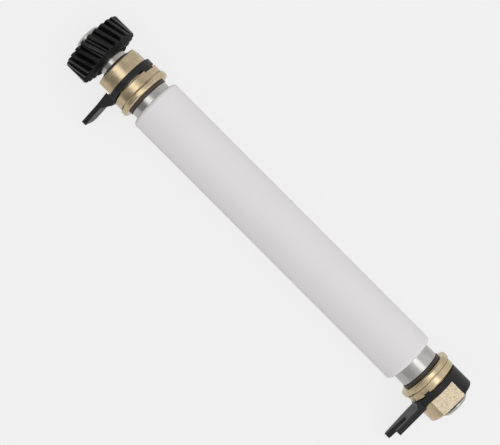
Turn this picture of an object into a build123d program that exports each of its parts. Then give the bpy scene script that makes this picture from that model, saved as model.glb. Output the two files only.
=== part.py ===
from build123d import *
import math
import os

# A platen roller out of a label printing line, lying on a table.
# The axis runs along X with the gear at the -X end, +Z is up, and the origin is on the
# axis at the middle of the rubber. Sizes are in millimetres and degrees.
# Each end is described by distances counted outward from the rubber's middle.

# Roller
rubber_length = 112.8
rubber_thick = 2.0
rubber_edge_round = 1.3
core_r = 7.0
bond_gap = 0.02
core_edge_chamfer = 0.25
drive_neck_length = 2.45
outboard_neck_length = 4.8
journal_r = 4.7625
shaft_tip_chamfer = 0.6
centre_r = 1.2
centre_angle = 60

# Bearing bushes
running_clearance = 0.04
end_float = 0.05
seat_r = 8.67
flange_lip = 0.53
flange_thick = 2.35
flange_rim_round = 0.55
relief_width = 0.22
relief_depth = 0.4
seat_edge_round = 0.25
drive_seat_length = 2.8
outboard_seat_length = 2.15
groove_depth = 1.97
groove_key_depth = 0.7
drive_collar_length = 5.0
outboard_collar_length = 5.85
collar_edge_round = 0.65
collar_flat_depth = 1.37
pocket_depth = 4.37
pocket_wall = 0.7
notch_depth = 1.3
drive_notch_length = 0.75
drive_notch_width = 4.4
drive_notch_angle = 42
outboard_notch_length = 0.55
outboard_notch_width = 2.1
outboard_notch_angle = 115.5
drive_bush_lean = 4.5

# Latch levers
mould_gap = 0.02
lever_gap = 0.65
hub_inset = 0.12
hub_thick = 2.0
boss_end_setback = 0.15
boss_edge_round = 0.7
joggle_run = 3.0
joggle_inset = 0.2
drive_arm_thick = 1.6
drive_arm_joggle = 1.4
drive_arm_web_run = 3.9
drive_arm_web_lap = 0.6
outboard_arm_thick = 1.85
outboard_arm_joggle = 1.1
outboard_arm_web_run = 0.8
outboard_arm_web_lap = 0
drive_arm_reach = 20.25
drive_arm_half_width = 4.05
drive_arm_root_inset = 0.65
drive_arm_taper_end = 12.0
drive_arm_lower_round = 2.0
drive_arm_upper_round = 0.5
outboard_arm_top = 4.7
outboard_short_prong_reach = 18.7
outboard_short_prong_width = 2.0
outboard_short_prong_round = 0.3
outboard_long_prong_reach = 22.2
outboard_long_prong_top = -4.6
outboard_long_prong_round = 1.1
outboard_arm_bend = 11.6
outboard_arm_heel = 4.3
outboard_arm_lower_round = 1.0
outboard_slot_root = 13.8
outboard_slot_floor = -2.6
outboard_slot_round = 1.2
table_gap = 0.1

# Thrust washers and snap rings
washer_lip = 0.3
washer_bore_clearance = 0.05
drive_washer_thick = 0.8
outboard_washer_thick = 1.0
ring_rise = 0.74
ring_thick = 0.8
ring_opening_angle = 40
ring_groove_depth = 0.45
ring_clearance = 0.03
outboard_tip_beyond_ring = 1.1

# Drive gear
gear_teeth = 24
gear_normal_module = 0.8
gear_dedendum_modules = 1.25
gear_helix_angle = 17
gear_phase = -1.03
gear_width = 7.7
gear_bore_clearance = 0.03
gear_hub_wall = 1.6
gear_hub_length = 1.2
gear_hub_from_ring = 1.75
gear_rim_thick = 1.0
gear_recess_width = 0.84
gear_recess_depth = 0.8
gear_edge_chamfer = 0.12
gear_twist_steps = 4
gear_tip_width_ratio = 0.38
gear_pitch_width_ratio = 0.5
gear_root_width_ratio = 0.76
drive_tip_beyond_gear = 2.04
drive_pin_r = 1.0
drive_pin_length = 11.0
drive_pin_clearance = 0.03

# The largest share of a wall that a round on it may take
round_share = 0.8

# Distances outward from the rubber's middle, drive end
rubber_end = rubber_length / 2
drive_shoulder = rubber_end + drive_neck_length
drive_flange_at = drive_shoulder + drive_washer_thick + end_float
drive_seat_at = drive_flange_at + flange_thick
drive_groove_at = drive_seat_at + drive_seat_length
drive_arm_end = drive_groove_at + lever_gap + hub_thick + drive_arm_joggle
drive_collar_at = drive_groove_at + lever_gap + hub_thick + mould_gap
drive_collar_end = drive_collar_at + drive_collar_length
drive_ring_at = drive_collar_end + end_float
gear_hub_at = drive_ring_at + ring_thick + gear_hub_from_ring
gear_at = gear_hub_at + gear_hub_length
gear_end = gear_at + gear_width
drive_tip = gear_end + drive_tip_beyond_gear
drive_pin_at = gear_hub_at + drive_pin_clearance + drive_pin_r

# Distances outward from the rubber's middle, outboard end
outboard_shoulder = rubber_end + outboard_neck_length
outboard_flange_at = outboard_shoulder + outboard_washer_thick + end_float
outboard_seat_at = outboard_flange_at + flange_thick
outboard_groove_at = outboard_seat_at + outboard_seat_length
outboard_arm_end = outboard_groove_at + lever_gap + hub_thick + outboard_arm_joggle
outboard_collar_at = outboard_groove_at + lever_gap + hub_thick + mould_gap
outboard_collar_end = outboard_collar_at + outboard_collar_length
outboard_ring_at = outboard_collar_end + end_float
outboard_tip = outboard_ring_at + ring_thick + outboard_tip_beyond_ring

# Radii and flats that follow from the ones above
rubber_r = core_r + rubber_thick
centre_depth = centre_r / math.tan(math.radians(centre_angle / 2))
bush_bore_r = journal_r + running_clearance
flange_r = seat_r + flange_lip
groove_r = seat_r - groove_depth
groove_flat = groove_r - groove_key_depth
collar_flat = seat_r - collar_flat_depth
pocket_plane = seat_r - pocket_depth
pocket_r = bush_bore_r + pocket_wall
hub_r = seat_r - hub_inset
joggle_end = seat_r - joggle_inset
joggle_start = joggle_end - joggle_run
washer_r = core_r + washer_lip
ring_r = journal_r + ring_rise
ring_groove_r = journal_r - ring_groove_depth
gear_hub_r = journal_r + gear_hub_wall
gear_transverse_module = gear_normal_module / math.cos(math.radians(gear_helix_angle))
gear_pitch_r = gear_teeth * gear_transverse_module / 2
gear_tip_r = gear_pitch_r + gear_normal_module
gear_root_r = gear_pitch_r - gear_dedendum_modules * gear_normal_module
gear_recess_outer_r = gear_root_r - gear_rim_thick

# A distance from the axis that lies beyond every piece, for blocks that cut right through
outside = gear_tip_r + flange_r + drive_arm_reach + outboard_long_prong_reach

# The gear and the outboard flange stand on the table, so it slopes a little below the axis.
table_slope = (gear_tip_r - flange_r) / (gear_at + outboard_seat_at)
table_under_drive_lever = gear_tip_r - table_slope * (gear_at - drive_arm_end + drive_arm_thick)
table_under_outboard_lever = flange_r - table_slope * (outboard_arm_end - outboard_seat_at)


def turned(points):
    """Turns a closed outline of (x, radius) points about the X axis."""
    return revolve(make_face(Polyline(*points, close=True)), Axis.X, 360)


def rounded_outline(corners):
    """A closed outline from corner points, each given with the radius of its round."""
    points = [point for point, radius in corners]
    radii = [radius for point, radius in corners]
    return make_face(FilletPolyline(*points, radius=radii, close=True))


def ring(start, end, outer_r, inner_r):
    """A plain ring about the X axis, between two places along it."""
    return turned([(start, inner_r), (end, inner_r), (end, outer_r), (start, outer_r)])


def slab(start, end, outline):
    """Extrudes an outline drawn in (y, z) from one place along X to another."""
    return extrude(Plane.YZ.offset(start) * outline, end - start)


def about_axis(piece, angle):
    return piece.rotate(Axis.X, angle)


def to_end(piece, side):
    """Puts a piece drawn towards +X at its own end, mirrored for the drive end."""
    return piece if side > 0 else piece.mirror(Plane.YZ)


def core(start, end, radius):
    """A plain round bar on the X axis, between two places along it."""
    return turned([(start, 0), (start, radius), (end, radius), (end, 0)])


def roller_shaft():
    c = core_edge_chamfer
    t = shaft_tip_chamfer
    shaft = turned(
        [
            (-drive_tip + centre_depth, 0),
            (-drive_tip, centre_r),
            (-drive_tip, journal_r - t),
            (-drive_tip + t, journal_r),
            (-drive_shoulder, journal_r),
            (-drive_shoulder, core_r - c),
            (-drive_shoulder + c, core_r),
            (outboard_shoulder - c, core_r),
            (outboard_shoulder, core_r - c),
            (outboard_shoulder, journal_r),
            (outboard_tip - t, journal_r),
            (outboard_tip, journal_r - t),
            (outboard_tip, centre_r),
            (outboard_tip - centre_depth, 0),
        ]
    )
    for ring_at in (-drive_ring_at - ring_thick, outboard_ring_at):
        start = ring_at - ring_clearance
        end = ring_at + ring_thick + ring_clearance
        shaft -= ring(start, end, core_r, ring_groove_r)
    pin_hole = Cylinder(drive_pin_r + drive_pin_clearance, 2 * core_r)
    return shaft - Pos(-drive_pin_at, 0, 0) * pin_hole


def rubber_sleeve():
    sleeve = ring(-rubber_end, rubber_end, rubber_r, core_r + bond_gap)
    rims = sleeve.edges().filter_by(GeomType.CIRCLE).group_by(SortBy.RADIUS)[-1]
    return fillet(rims, min(rubber_edge_round, round_share * rubber_thick))


def thrust_washer(shoulder, thick, side):
    washer = ring(shoulder, shoulder + thick, washer_r, journal_r + washer_bore_clearance)
    return to_end(washer, side)


def snap_ring(ring_at, side, opening_towards):
    body = ring(ring_at, ring_at + ring_thick, ring_r, ring_groove_r + ring_clearance)
    half = math.radians(ring_opening_angle / 2)
    far = 2 * ring_r
    wedge = Polyline((0, 0), (far * math.cos(half), far * math.sin(half)),
                     (far * math.cos(half), -far * math.sin(half)), close=True)
    body -= slab(ring_at, ring_at + ring_thick, make_face(wedge))
    return to_end(about_axis(body, opening_towards), side)


def notch_block(groove_at, notch, shrink):
    """The small key slot in the seat's outer edge, or the lever's lug when it is shrunk."""
    length, width, angle = notch
    reach = length + lever_gap + hub_thick
    block = Box(reach, outside, width - 2 * shrink, align=(Align.MIN, Align.MIN, Align.CENTER))
    return about_axis(Pos(groove_at - length + shrink, seat_r - notch_depth + shrink, 0) * block, angle)


def pocket(start, end, shrink):
    """The space cut out of one side of the collar, which the lever's half-shell boss fills."""
    side_block = Pos(start, pocket_plane + shrink, 0) * Box(
        end - start, outside, 2 * outside, align=(Align.MIN, Align.MIN, Align.CENTER))
    return side_block - core(start, end, pocket_r + shrink)


def stepped_block(start, end, joggle):
    """A block on the arm's side of the axis, whose outer face steps outward with the arm."""
    path = Polyline(
        (start, -joggle_start), (end, -joggle_start), (end + joggle, -joggle_end),
        (end + joggle, -outside), (start, -outside), close=True)
    return extrude(Plane.XY.offset(-outside) * make_face(path), 2 * outside)


def webbed_block(start, arm_start, arm_end, web_run):
    """A block over the arm, thickened towards the rubber by a web that runs out of the hub."""
    path = Polyline(
        (start, 0), (start, -joggle_end), (arm_start, -joggle_end - web_run),
        (arm_start, -outside), (arm_end, -outside), (arm_end, 0), close=True)
    return extrude(Plane.XY.offset(-outside) * make_face(path), 2 * outside)


def flat_cutter(start, end, plane_at):
    """A block beyond a flat that faces +Z."""
    block = Box(end - start, 2 * outside, outside, align=(Align.MIN, Align.CENTER, Align.MIN))
    return Pos(start, 0, plane_at) * block


def bearing(flange_at, groove_at, collar_end, turn, notch, arm_turn, arm):
    """A turned brass bush: flange, seat, lever groove and an end collar with two flats.

    The flats face +Z and -Z and the pocket faces +Y before the bush is turned.
    """
    seat_at = flange_at + flange_thick
    collar_at = groove_at + lever_gap + hub_thick + mould_gap
    rim_end = seat_at - relief_width
    rim_round = min(flange_rim_round, round_share * (rim_end - flange_at) / 2)
    corners = [
        ((flange_at, bush_bore_r), 0),
        ((flange_at, flange_r), rim_round),
        ((rim_end, flange_r), rim_round),
        ((rim_end, seat_r - relief_depth), 0),
        ((seat_at, seat_r - relief_depth), 0),
        ((seat_at, seat_r), 0),
        ((groove_at, seat_r), seat_edge_round),
        ((groove_at, groove_r), 0),
        ((collar_at, groove_r), 0),
        ((collar_at, seat_r), 0),
        ((collar_end, seat_r), collar_edge_round),
        ((collar_end, bush_bore_r), 0),
    ]
    bush = revolve(rounded_outline(corners), Axis.X, 360)
    for flip in (0, 180):
        bush -= about_axis(flat_cutter(collar_at, collar_end, collar_flat), flip)
        bush -= about_axis(flat_cutter(groove_at, collar_at, groove_flat), flip)
    bush -= pocket(collar_at, collar_end, 0)
    bush = about_axis(bush, turn)
    collar_ring = ring(collar_at, collar_end, outside, pocket_r)
    _, joggle, _, _, _ = arm
    bush -= about_axis(stepped_block(groove_at, collar_at, joggle) & collar_ring, arm_turn)
    return bush - notch_block(groove_at, notch, 0)


def latch_lever(groove_at, collar_end, turn, notch, arm_turn, arm):
    """The eye in the bush's groove, its half-shell on the collar, its lug and its arm."""
    hub_at = groove_at + lever_gap
    hub_end = hub_at + hub_thick
    boss_end = collar_end - boss_end_setback
    boss = core(hub_end, boss_end, hub_r)
    boss = fillet(boss.edges().filter_by(GeomType.CIRCLE).sort_by(Axis.X)[-1], boss_edge_round)
    boss = boss & pocket(hub_end, boss_end, mould_gap)
    key_end = hub_end + 2 * mould_gap
    key = core(hub_at, key_end, groove_r + mould_gap)
    for flip in (0, 180):
        key -= about_axis(flat_cutter(hub_at, key_end, groove_flat + mould_gap), flip)
    thick, joggle, web_run, web_lap, outline = arm
    arm_end = hub_end + joggle
    root = stepped_block(hub_at, hub_end, joggle) & ring(
        hub_at, arm_end, seat_r + 2 * mould_gap, pocket_r + mould_gap)
    web_at = hub_at - web_lap
    arm = slab(web_at, arm_end, outline) & webbed_block(web_at, arm_end - thick, arm_end, web_run)
    arm -= core(web_at, arm_end, seat_r + mould_gap)
    lug = notch_block(groove_at, notch, mould_gap) & core(0, hub_at, hub_r)
    hub = about_axis(core(hub_at, hub_end, hub_r) + boss, turn)
    return hub + about_axis(root + arm, arm_turn) - about_axis(key, turn) + lug


def drive_arm_outline():
    """A tapering arm towards -Y, with its far lower corner rounded off."""
    tip = -drive_arm_reach
    taper_end = -drive_arm_taper_end
    w = drive_arm_half_width
    root = hub_r - drive_arm_root_inset
    return rounded_outline(
        [
            ((0, root), 0),
            ((0, -root), 0),
            ((taper_end, -w), 0),
            ((tip, -w), drive_arm_lower_round),
            ((tip, w), drive_arm_upper_round),
            ((taper_end, w), 0),
        ]
    )


def drive_lever_droop():
    """The angle at which the arm's rounded lower corner comes down to the table."""
    along = drive_arm_reach - drive_arm_lower_round
    below = drive_arm_half_width - drive_arm_lower_round
    drop = table_under_drive_lever - table_gap - drive_arm_lower_round
    lean = math.degrees(math.atan2(below, along))
    return math.degrees(math.asin(drop / math.hypot(along, below))) - lean


def outboard_arm_outline():
    """A wide arm towards -Y that ends in a short upper prong and a long lower one."""
    low = -(table_under_outboard_lever - table_gap)
    short = -outboard_short_prong_reach
    long = -outboard_long_prong_reach
    slot = -outboard_slot_root
    corners = [
        ((0, outboard_arm_top), 0),
        ((short, outboard_arm_top), outboard_short_prong_round),
        ((short, outboard_arm_top - outboard_short_prong_width), outboard_short_prong_round),
        ((slot, outboard_arm_top - outboard_short_prong_width), outboard_slot_round),
        ((slot, outboard_slot_floor), outboard_slot_round),
        ((long, outboard_long_prong_top), outboard_long_prong_round),
        ((long, outboard_long_prong_top - 2 * outboard_long_prong_round), outboard_long_prong_round),
        ((-outboard_arm_bend, low), outboard_arm_lower_round),
        ((-outboard_arm_heel, low), outboard_arm_lower_round),
        ((0, -hub_r), 0),
    ]
    return rounded_outline(corners)


def tooth_outline(turn):
    """One section of the gear: straight-sided teeth with a bent flank, turned by an angle."""
    pitch_angle = 2 * math.pi / gear_teeth
    half_angles = [
        (gear_root_r, gear_root_width_ratio),
        (gear_pitch_r, gear_pitch_width_ratio),
        (gear_tip_r, gear_tip_width_ratio),
    ]
    rising = [(r, -share * pitch_angle / 2) for r, share in half_angles]
    falling = [(r, share * pitch_angle / 2) for r, share in reversed(half_angles)]
    points = []
    for tooth in range(gear_teeth):
        middle = tooth * pitch_angle + turn
        for r, angle in rising + falling:
            points.append((r * math.cos(middle + angle), r * math.sin(middle + angle)))
    return make_face(Polyline(*points, close=True))


def drive_gear():
    """A left-hand helical gear on the drive journal, with its hub towards the bush."""
    phase = math.radians(gear_phase)
    twist = -gear_width * math.tan(math.radians(gear_helix_angle)) / gear_pitch_r
    sections = []
    for step in range(gear_twist_steps + 1):
        share = step / gear_twist_steps
        place = Plane.YZ.offset(-gear_end + share * gear_width)
        sections.append(place * tooth_outline(phase + share * twist))
    teeth = loft(sections, ruled=True)
    c = gear_edge_chamfer
    envelope = turned(
        [
            (-gear_end, 0), (-gear_end, gear_tip_r - c), (-gear_end + 2 * c, gear_tip_r + c),
            (-gear_at - 2 * c, gear_tip_r + c), (-gear_at, gear_tip_r - c), (-gear_at, 0),
        ]
    )
    gear = teeth & envelope
    gear += core(-gear_at, -gear_hub_at, gear_hub_r)
    gear -= core(-drive_tip, -gear_hub_at, journal_r + gear_bore_clearance)
    recess_inner_r = gear_recess_outer_r - gear_recess_width
    gear -= ring(-gear_end, -gear_end + gear_recess_depth, gear_recess_outer_r, recess_inner_r)
    slot_size = 2 * (drive_pin_r + drive_pin_clearance)
    slot_length = drive_pin_length + 2 * drive_pin_clearance
    slot = Pos(-gear_hub_at, 0, 0) * Box(
        slot_size, slot_size, slot_length, align=(Align.MAX, Align.CENTER, Align.CENTER))
    return gear - slot


def gear_drive_pin():
    return Pos(-drive_pin_at, 0, 0) * Cylinder(drive_pin_r, drive_pin_length)


# How each end is set about the axis
drive_turn = drive_bush_lean - 90
drive_arm_turn = drive_lever_droop()
drive_arm = (
    drive_arm_thick, drive_arm_joggle, drive_arm_web_run, drive_arm_web_lap, drive_arm_outline())
drive_notch = (drive_notch_length, drive_notch_width, drive_notch_angle)
outboard_turn = 0
outboard_arm_turn = 0
outboard_arm = (
    outboard_arm_thick, outboard_arm_joggle, outboard_arm_web_run, outboard_arm_web_lap,
    outboard_arm_outline())
outboard_notch = (outboard_notch_length, outboard_notch_width, outboard_notch_angle)
ring_opening_towards = -90

pieces = {
    "roller_shaft": roller_shaft(),
    "rubber_sleeve": rubber_sleeve(),
    "drive_gear": drive_gear(),
    "gear_drive_pin": gear_drive_pin(),
    "drive_thrust_washer": thrust_washer(drive_shoulder, drive_washer_thick, -1),
    "drive_bearing": to_end(
        bearing(drive_flange_at, drive_groove_at, drive_collar_end,
                drive_turn, drive_notch, drive_arm_turn, drive_arm), -1),
    "drive_latch_lever": to_end(
        latch_lever(drive_groove_at, drive_collar_end,
                    drive_turn, drive_notch, drive_arm_turn, drive_arm), -1),
    "drive_snap_ring": snap_ring(drive_ring_at, -1, ring_opening_towards),
    "outboard_thrust_washer": thrust_washer(outboard_shoulder, outboard_washer_thick, 1),
    "outboard_bearing": to_end(
        bearing(outboard_flange_at, outboard_groove_at, outboard_collar_end,
                outboard_turn, outboard_notch, outboard_arm_turn, outboard_arm), 1),
    "outboard_latch_lever": to_end(
        latch_lever(outboard_groove_at, outboard_collar_end,
                    outboard_turn, outboard_notch, outboard_arm_turn, outboard_arm), 1),
    "outboard_snap_ring": snap_ring(outboard_ring_at, 1, ring_opening_towards),
}

os.makedirs("parts", exist_ok=True)
for name, piece in pieces.items():
    piece.label = name
    export_step(piece, f"parts/{name}.step")
    print(name, round(piece.volume, 2))
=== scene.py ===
# %% [markdown]
# # A platen roller
# This lesson dresses a finished CAD model of a platen roller, the rubber roller that carries
# labels past a print head. The shapes come from the CAD model and stay as they are, because a
# machine part has to keep its fits. Blender adds what CAD does not have: how rubber, steel,
# brass and black plastic look, the table, the light and the camera.

import math

import bpy
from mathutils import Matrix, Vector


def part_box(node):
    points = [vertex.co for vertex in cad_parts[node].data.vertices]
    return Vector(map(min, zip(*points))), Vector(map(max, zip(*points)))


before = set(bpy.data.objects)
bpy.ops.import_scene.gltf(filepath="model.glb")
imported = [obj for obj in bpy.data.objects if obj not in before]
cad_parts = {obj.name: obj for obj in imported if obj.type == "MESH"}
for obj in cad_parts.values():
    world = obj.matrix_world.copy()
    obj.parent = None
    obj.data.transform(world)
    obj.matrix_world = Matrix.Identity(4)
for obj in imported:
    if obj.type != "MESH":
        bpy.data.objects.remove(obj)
bpy.context.view_layer.update()
mm = 0.001
print("pieces in the CAD model:", len(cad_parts))

# %% [markdown]
# ## A small helper for material nodes
# Every finish below is built from shader nodes. One short helper makes a node, sets its
# options and fills its sockets, where a socket is given either a plain value or the output of
# another node. It keeps each finish readable from top to bottom.


# %% Node helper
def add(tree, kind, options=None, **sockets):
    """Adds a node; socket names are written with _ for spaces, and i0, i1 count sockets."""
    node = tree.nodes.new(kind)
    for name, value in (options or {}).items():
        setattr(node, name, value)
    for name, value in sockets.items():
        counted = name[0] == "i" and name[1:].isdigit()
        socket = node.inputs[int(name[1:])] if counted else node.inputs[name.replace("_", " ")]
        if isinstance(value, bpy.types.NodeSocket):
            tree.links.new(value, socket)
        else:
            socket.default_value = value
    return node


def maths(tree, operation, *values):
    """One step of arithmetic on numbers or sockets."""
    inputs = {f"i{count}": value for count, value in enumerate(values)}
    return add(tree, "ShaderNodeMath", {"operation": operation}, **inputs).outputs[0]


def spread(tree, value, low, high, to_low, to_high):
    """Maps a value from one range to another and stops at both ends."""
    node = add(tree, "ShaderNodeMapRange", None, Value=value, From_Min=low, From_Max=high,
               To_Min=to_low, To_Max=to_high)
    return node.outputs[0]


print("helpers ready: add, maths, spread")

# %% [markdown]
# ## Marks left by the lathe
# Nearly every surface of this roller was turned or ground while it spun, so its fine marks run
# round the axis. Noise makes such marks when it changes quickly along the axis and slowly
# round it. The coordinates are the object's own, so the marks stay on a piece when it turns.


# %% Noise in the object's own coordinates
def own_coordinates(tree):
    return add(tree, "ShaderNodeTexCoord").outputs["Object"]


def noise(tree, size_along, size_round, detail=2.0):
    """Noise with marks of one size along the axis and another round it, in metres."""
    scaled = add(tree, "ShaderNodeMapping", None, Vector=own_coordinates(tree),
                 Scale=(1 / size_along, 1 / size_round, 1 / size_round))
    made = add(tree, "ShaderNodeTexNoise", None, Vector=scaled.outputs[0], Scale=1.0, Detail=detail)
    return made.outputs["Fac"]


def between(tree, pattern, low, high):
    """Noise rarely leaves its middle part, so that part is spread over the wanted range."""
    return spread(tree, pattern, 0.3, 0.7, low, high)


def tint(tree, colour, pattern, low, high):
    """The colour made darker or lighter by a pattern."""
    level = between(tree, pattern, low, high)
    return add(tree, "ShaderNodeVectorMath", {"operation": "SCALE"}, i0=colour, Scale=level).outputs[0]


def finish(name, **constants):
    """A new material and its shader, with the sockets that are the same all over."""
    material = bpy.data.materials.new(name)
    material.use_nodes = True
    tree = material.node_tree
    shader = tree.nodes["Principled BSDF"]
    for socket, value in constants.items():
        shader.inputs[socket.replace("_", " ")].default_value = value
    return material, tree, shader


def bump(tree, shader, height, depth):
    """Lets a height pattern tilt the surface; depth is the real height of the marks."""
    node = add(tree, "ShaderNodeBump", None, Height=height, Distance=depth, Strength=1.0)
    tree.links.new(node.outputs[0], shader.inputs["Normal"])
    return node


print("helpers ready: noise, between, tint, finish, bump")

# %% [markdown]
# ## Ground rubber
# The sleeve is pale grey silicone rubber, ground to size, so it is matt and very even. Plain
# grey would look like paper. Three faint layers make it rubber: fine grinding marks round the
# sleeve, a powdery grain, and broad soft patches where it was handled.

# %% The rubber's finish
rubber_colour = (0.768, 0.75, 0.76)
grinding_pitch, grinding_length = 0.25 * mm, 20 * mm
powder_size = 0.18 * mm
patch_length, patch_width = 14 * mm, 9 * mm
grinding_depth = 0.006 * mm
rubber, tree, shader = finish("ground_rubber", Specular_IOR_Level=0.35)
grinding = noise(tree, grinding_pitch, grinding_length)
grain = noise(tree, powder_size, powder_size, 3.0)
patches = noise(tree, patch_length, patch_width)
powdery = tint(tree, rubber_colour, grain, 0.985, 1.01)
tree.links.new(tint(tree, powdery, patches, 0.99, 1.01), shader.inputs["Base Color"])
tree.links.new(between(tree, patches, 0.52, 0.66), shader.inputs["Roughness"])
surface = maths(tree, "ADD", maths(tree, "MULTIPLY", grinding, 0.5), grain)
bump(tree, shader, surface, grinding_depth)
print("made", rubber.name)

# %% [markdown]
# ## Turned metal
# The shaft is turned steel and the bushes are turned brass. Both are a metal with fine rings
# in it, so one function makes both and only the colour and the coarseness differ. Rings in the
# roughness matter as much as rings in the height, because they break up the highlight.


# %% Turned steel
ring_length = 30 * mm
scratch_width, scratch_length = 0.06 * mm, 1.5 * mm
stain_length, stain_width = 3 * mm, 2 * mm
tool_mark_depth = 0.004 * mm


def turned_metal(name, colour, smooth, coarse, ring_width, stain_level):
    """A metal with tool marks round the X axis and faint stains."""
    material, tree, shader = finish(name, Metallic=1.0)
    rings = noise(tree, ring_width, ring_length)
    scratches = noise(tree, scratch_width, scratch_length, 4.0)
    stains = noise(tree, stain_length, stain_width, 3.0)
    ringed = tint(tree, colour, rings, 0.93, 1.04)
    tree.links.new(tint(tree, ringed, stains, stain_level, 1.04), shader.inputs["Base Color"])
    worn = maths(tree, "ADD", maths(tree, "MULTIPLY", rings, 0.6), maths(tree, "MULTIPLY", stains, 0.4))
    tree.links.new(spread(tree, worn, 0.35, 0.65, smooth, coarse), shader.inputs["Roughness"])
    height = maths(tree, "ADD", rings, maths(tree, "MULTIPLY", scratches, 0.35))
    bump(tree, shader, height, tool_mark_depth)
    return material, tree, shader


steel_colour = (0.46, 0.455, 0.43)
steel, _, _ = turned_metal("turned_steel", steel_colour, smooth=0.22, coarse=0.34,
                           ring_width=0.22 * mm, stain_level=0.92)
print("made", steel.name)

# %% [markdown]
# ## Brass with milled flats
# The bushes are turned too, but the two flats on each collar were milled afterwards and look
# grainy. A flat is found by its own shape: its surface normal points straight along Y or Z,
# and it lies well below the rim of the flange. No second material is needed, so the edge
# between the two finishes is exactly where the real edge is.

# %% The brass finish
brass_colour = (0.59, 0.475, 0.305)
milled_brass_colour = (0.59, 0.5, 0.36)
mill_mark, milled_roughness = 0.4 * mm, 0.46
straight_along_axis = 0.995
brass, tree, shader = turned_metal("turned_brass", brass_colour, smooth=0.22, coarse=0.36,
                                   ring_width=0.3 * mm, stain_level=0.8)
bush_low, bush_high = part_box("outboard_bearing")
flats_lie_below = 0.9 * (bush_high.z - bush_low.z) / 2
place = add(tree, "ShaderNodeSeparateXYZ", None, Vector=own_coordinates(tree)).outputs
facing = add(tree, "ShaderNodeSeparateXYZ", None,
             Vector=add(tree, "ShaderNodeTexCoord").outputs["Normal"]).outputs
flats = []
for axis in (1, 2):
    faces_out = maths(tree, "GREATER_THAN", maths(tree, "ABSOLUTE", facing[axis]), straight_along_axis)
    sunk = maths(tree, "LESS_THAN", maths(tree, "ABSOLUTE", place[axis]), flats_lie_below)
    flats.append(maths(tree, "MULTIPLY", faces_out, sunk))
flat = maths(tree, "MAXIMUM", flats[0], flats[1])
mill_grain = noise(tree, mill_mark, mill_mark, 4.0)
turned_colour = shader.inputs["Base Color"].links[0].from_socket
milled_colour = tint(tree, milled_brass_colour, mill_grain, 0.7, 1.25)
mixed = add(tree, "ShaderNodeMix", {"data_type": "RGBA"}, i0=flat, i6=turned_colour, i7=milled_colour)
tree.links.new(mixed.outputs[2], shader.inputs["Base Color"])
turned_roughness = shader.inputs["Roughness"].links[0].from_socket
roughness = add(tree, "ShaderNodeMix", None, i0=flat, i2=turned_roughness, i3=milled_roughness)
tree.links.new(roughness.outputs[0], shader.inputs["Roughness"])
print("made", brass.name)

# %% [markdown]
# ## Black mouldings
# The gear and both levers are moulded in black plastic. Black shows almost nothing but its
# gloss, so the work goes into roughness and into the edges, which rub lighter in use. A bevel
# node compares the true normal with a rounded one, and they differ only close to an edge.
# The faces that look along the axis leave the mould matt. On the levers those faces are also painted
# grey, a painted sheen for the pale table they reflect at a grazing angle, while the rims are darker
# and glossier.


# %% Plastic with rubbed edges
skin_grain, skin_depth = 0.12 * mm, 0.004 * mm
flow_length, flow_width = 2.5 * mm, 4 * mm


def black_plastic(name, colour, face_sheen_colour, edge_colour, smooth, coarse, edge_width, gloss, face_matt):
    """A moulded plastic with a fine skin, lighter worn edges and a painted sheen on the faces along the
    axis.
    """
    material, tree, shader = finish(name, Specular_IOR_Level=gloss)
    skin = noise(tree, skin_grain, skin_grain)
    flow = noise(tree, flow_length, flow_width)
    rounded = add(tree, "ShaderNodeBevel", {"samples": 4}, Radius=edge_width).outputs[0]
    true = add(tree, "ShaderNodeNewGeometry").outputs["Normal"]
    agree = add(tree, "ShaderNodeVectorMath", {"operation": "DOT_PRODUCT"}, i0=rounded, i1=true)
    edge = spread(tree, agree.outputs["Value"], 0.995, 0.88, 0.0, 1.0)
    broken_edge = maths(tree, "MULTIPLY", edge, spread(tree, flow, 0.35, 0.6, 0.4, 1.0))
    own_normal = add(tree, "ShaderNodeTexCoord").outputs["Normal"]
    along = add(tree, "ShaderNodeSeparateXYZ", None, Vector=own_normal).outputs[0]
    on_face = spread(tree, maths(tree, "ABSOLUTE", along), 0.9, 0.99, 0.0, 1.0)
    # On faces along the axis the second colour is a painted sheen: grey on the levers, plain black on
    # the gear.
    colour_with_face_sheen = add(tree, "ShaderNodeMix", {"data_type": "RGBA"}, i0=on_face, i6=(*colour, 1.0),
                  i7=(*face_sheen_colour, 1.0))
    base = tint(tree, colour_with_face_sheen.outputs[2], flow, 0.9, 1.15)
    rubbed = add(tree, "ShaderNodeMix", {"data_type": "RGBA"}, i0=broken_edge, i6=base,
                 i7=(*edge_colour, 1.0))
    tree.links.new(rubbed.outputs[2], shader.inputs["Base Color"])
    matt_face = maths(tree, "MULTIPLY", on_face, face_matt)
    gloss_grain = between(tree, flow, smooth, coarse)
    tree.links.new(maths(tree, "MAXIMUM", gloss_grain, matt_face), shader.inputs["Roughness"])
    bumped = bump(tree, shader, skin, skin_depth)
    tree.links.new(rounded, bumped.inputs["Normal"])
    return material


gear_black, gear_edge = (0.005, 0.005, 0.0055), (0.03, 0.03, 0.032)
gear_plastic = black_plastic("gear_plastic", gear_black, gear_black, gear_edge, smooth=0.28,
                             coarse=0.4, edge_width=0.14 * mm, gloss=0.28, face_matt=0.9)
# The levers' grey is a painted sheen on their faces along the axis; the gear has none.
lever_black, lever_painted_sheen, lever_edge = (0.013, 0.013, 0.0145), (0.07, 0.07, 0.07), (0.09, 0.09, 0.092)
lever_plastic = black_plastic("lever_plastic", lever_black, lever_painted_sheen, lever_edge, smooth=0.4,
                              coarse=0.52, edge_width=0.2 * mm, gloss=0.24, face_matt=0.6)
print("made", gear_plastic.name, "and", lever_plastic.name)
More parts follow.
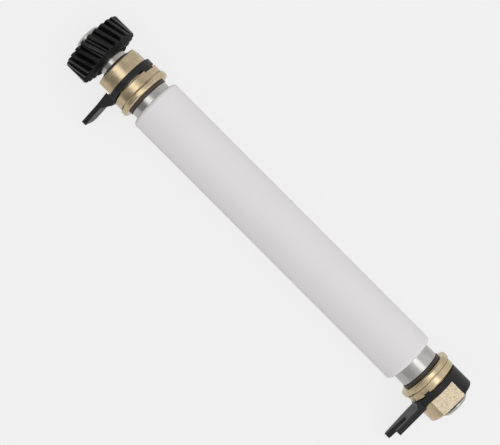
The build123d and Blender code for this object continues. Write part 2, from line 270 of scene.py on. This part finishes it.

# %% [markdown]
# ## The thrust washers
# Between the shaft's shoulder and each flange sits a thin washer of oiled fibre. Its brown-black colour
# is partly the fibre's own and partly painted shade for the shaded gap between the shoulder and the
# flange. It is quite matt, with a fine flecked grain.

# %% Dark fibre with painted gap shade
# The colour is kept this dark partly as painted shade for the gap beside the flange.
fibre_and_gap_shade_colour = (0.05, 0.039, 0.026)
fleck_width, fleck_length, fleck_depth = 0.2 * mm, 0.5 * mm, 0.01 * mm
fibre_and_gap_shade, tree, shader = finish("dark_fibre_and_gap_shade")
flecks = noise(tree, fleck_width, fleck_length, 3.0)
tree.links.new(tint(tree, fibre_and_gap_shade_colour, flecks, 0.7, 1.4), shader.inputs["Base Color"])
tree.links.new(between(tree, flecks, 0.42, 0.6), shader.inputs["Roughness"])
bump(tree, shader, flecks, fleck_depth)
print("made", fibre_and_gap_shade.name)

# %% [markdown]
# ## The snap rings
# The rings are spring steel with a black oxide skin against rust. The skin is thin, so the
# steel's gloss still comes through where a tool has scraped it.

# %% Black oxide on spring steel
oxide_colour = (0.028, 0.028, 0.03)
scrape_length, scrape_width, scrape_depth = 0.5 * mm, 0.25 * mm, 0.005 * mm
black_oxide, tree, shader = finish("black_oxide", Metallic=0.6)
scrapes = noise(tree, scrape_length, scrape_width, 4.0)
tree.links.new(tint(tree, oxide_colour, scrapes, 0.6, 1.9), shader.inputs["Base Color"])
tree.links.new(between(tree, scrapes, 0.42, 0.28), shader.inputs["Roughness"])
bump(tree, shader, scrapes, scrape_depth)
print("made", black_oxide.name)

# %% [markdown]
# ## Putting the finishes on
# Each CAD piece arrives with one material slot. The finish goes into that slot and the mesh is
# left alone, so what fits in the CAD model still fits here.

# %% Finish of each piece
finishes = {
    "roller_shaft": steel,
    "gear_drive_pin": steel,
    "rubber_sleeve": rubber,
    "drive_gear": gear_plastic,
    "drive_bearing": brass,
    "outboard_bearing": brass,
    "drive_latch_lever": lever_plastic,
    "outboard_latch_lever": lever_plastic,
    "drive_thrust_washer": fibre_and_gap_shade,
    "outboard_thrust_washer": fibre_and_gap_shade,
    "drive_snap_ring": black_oxide,
    "outboard_snap_ring": black_oxide,
}
for name, material in finishes.items():
    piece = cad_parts[name]
    piece.data.materials.clear()
    piece.data.materials.append(material)
print("pieces with a finish:", len(finishes))

# %% [markdown]
# ## The table
# The roller lies on its two widest pieces, the gear and the outboard flange. The gear is the
# larger one, so the table slopes by about two thirds of a degree under the level axis. The
# floor is laid through those two lowest points instead of lifting the model.
# The photograph's ground is nearly shadowless. Most of the floor's light is therefore a plain
# glow, seen by the camera and by shiny surfaces alike, and the rest keeps the shadow.

# %% Floor
floor_colour = 0.89
glow_share = 0.88
table_width = 40
gear_low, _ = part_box("drive_gear")
gear_width, flange_width = 7.7 * mm, 1.6 * mm
gear_stands_at = (gear_low.x + gear_width, gear_low.z)
flange_stands_at = (bush_low.x + flange_width, bush_low.z)
slope = (flange_stands_at[1] - gear_stands_at[1]) / (flange_stands_at[0] - gear_stands_at[0])
level = gear_stands_at[1] - slope * gear_stands_at[0]
bpy.ops.mesh.primitive_plane_add(size=table_width, location=(0, 0, level),
                                 rotation=(0, -math.atan(slope), 0))
floor = bpy.context.object
floor.name = "table"
paper, tree, shader = finish("pale_table", Roughness=0.9, Specular_IOR_Level=0.1,
                             Base_Color=(floor_colour, floor_colour, floor_colour, 1))
path = add(tree, "ShaderNodeLightPath").outputs
seen = maths(tree, "MAXIMUM", path["Is Camera Ray"],
             maths(tree, "MAXIMUM", path["Is Glossy Ray"], path["Is Transmission Ray"]))
glow = add(tree, "ShaderNodeEmission", None, Color=(floor_colour, floor_colour, floor_colour, 1))
blend = add(tree, "ShaderNodeMixShader", None, i0=maths(tree, "MULTIPLY", seen, glow_share),
            i1=shader.outputs[0], i2=glow.outputs[0])
tree.links.new(blend.outputs[0], tree.nodes["Material Output"].inputs["Surface"])
floor.data.materials.append(paper)
print("table slope in degrees:", round(math.degrees(math.atan(slope)), 2))

# %% [markdown]
# ## The light
# One wide, shallow soft box hangs over the roller. Its reflection is the bright band along the
# steel and the brass. Everything else comes from the room, which is pale near the ground. Above
# that it grows brighter towards the outboard end and the far side, because the photograph's
# metal is darkest near the gear and on the side of the levers.

# %% Soft box and room
photo_turn = math.radians(45.05)
box_height, box_width, box_depth, box_up = 0.46, 0.56, 0.2, 0.02
box_power = 0.6
lamp_data = bpy.data.lights.new("soft_box", "AREA")
lamp_data.shape = "RECTANGLE"
lamp_data.size = box_width
lamp_data.size_y = box_depth
lamp_data.energy = box_power
lamp = bpy.data.objects.new("soft_box", lamp_data)
bpy.context.scene.collection.objects.link(lamp)
lamp.location = (-box_up * math.sin(photo_turn), box_up * math.cos(photo_turn), box_height)
lamp.rotation_euler = (0, 0, photo_turn)

room = bpy.data.worlds.new("room")
bpy.context.scene.world = room
room.use_nodes = True
tree = room.node_tree
ground_level, upper_level = 0.888, 0.66
along_change, across_change = 1.25, 0.32
dimmest, brightest = 0.3, 1.05
ground_ends, upper_starts = 0.05, 0.2
direction = add(tree, "ShaderNodeTexCoord").outputs["Generated"]
sky = add(tree, "ShaderNodeSeparateXYZ", None, Vector=direction).outputs
upper = maths(tree, "MULTIPLY_ADD", sky[0], along_change, upper_level)
upper = maths(tree, "MULTIPLY_ADD", sky[1], across_change, upper)
upper = maths(tree, "MINIMUM", maths(tree, "MAXIMUM", upper, dimmest), brightest)
rise = spread(tree, sky[2], ground_ends, upper_starts, 0.0, 1.0)
strength = add(tree, "ShaderNodeMix", None, i0=rise, i2=ground_level, i3=upper)
tree.links.new(strength.outputs[0], tree.nodes["Background"].inputs["Strength"])
tree.nodes["Background"].inputs["Color"].default_value = (1, 1, 1, 1)
print("soft box power in watts:", lamp_data.energy)

# %% [markdown]
# ## The camera
# The photograph looks straight down, with the roller across the frame at 45 degrees and the
# gear at the top left. The camera therefore hangs over the middle and is turned by that angle.
# Its lens follows from how much of the table the photograph shows at the height of the axis.

# %% Camera
camera_height = 398 * mm
seen_width = 156.25 * mm
over_x, over_y = -8.9 * mm, -5.08 * mm
nearest_seen = 10 * mm
camera_data = bpy.data.cameras.new("overhead_camera")
camera_data.lens = camera_data.sensor_width * camera_height / seen_width
camera_data.clip_start = nearest_seen
camera = bpy.data.objects.new("overhead_camera", camera_data)
bpy.context.scene.collection.objects.link(camera)
camera.location = (over_x, over_y, camera_height)
camera.rotation_euler = (0, 0, photo_turn)
bpy.context.scene.camera = camera
bpy.context.scene.view_settings.view_transform = "Standard"
print("lens in millimetres:", round(camera_data.lens, 1))

# %% [markdown]
# ## A last update
# The view layer is updated once more. Finishes add nothing to the size of a part.

# %% Last update
bpy.context.view_layer.update()
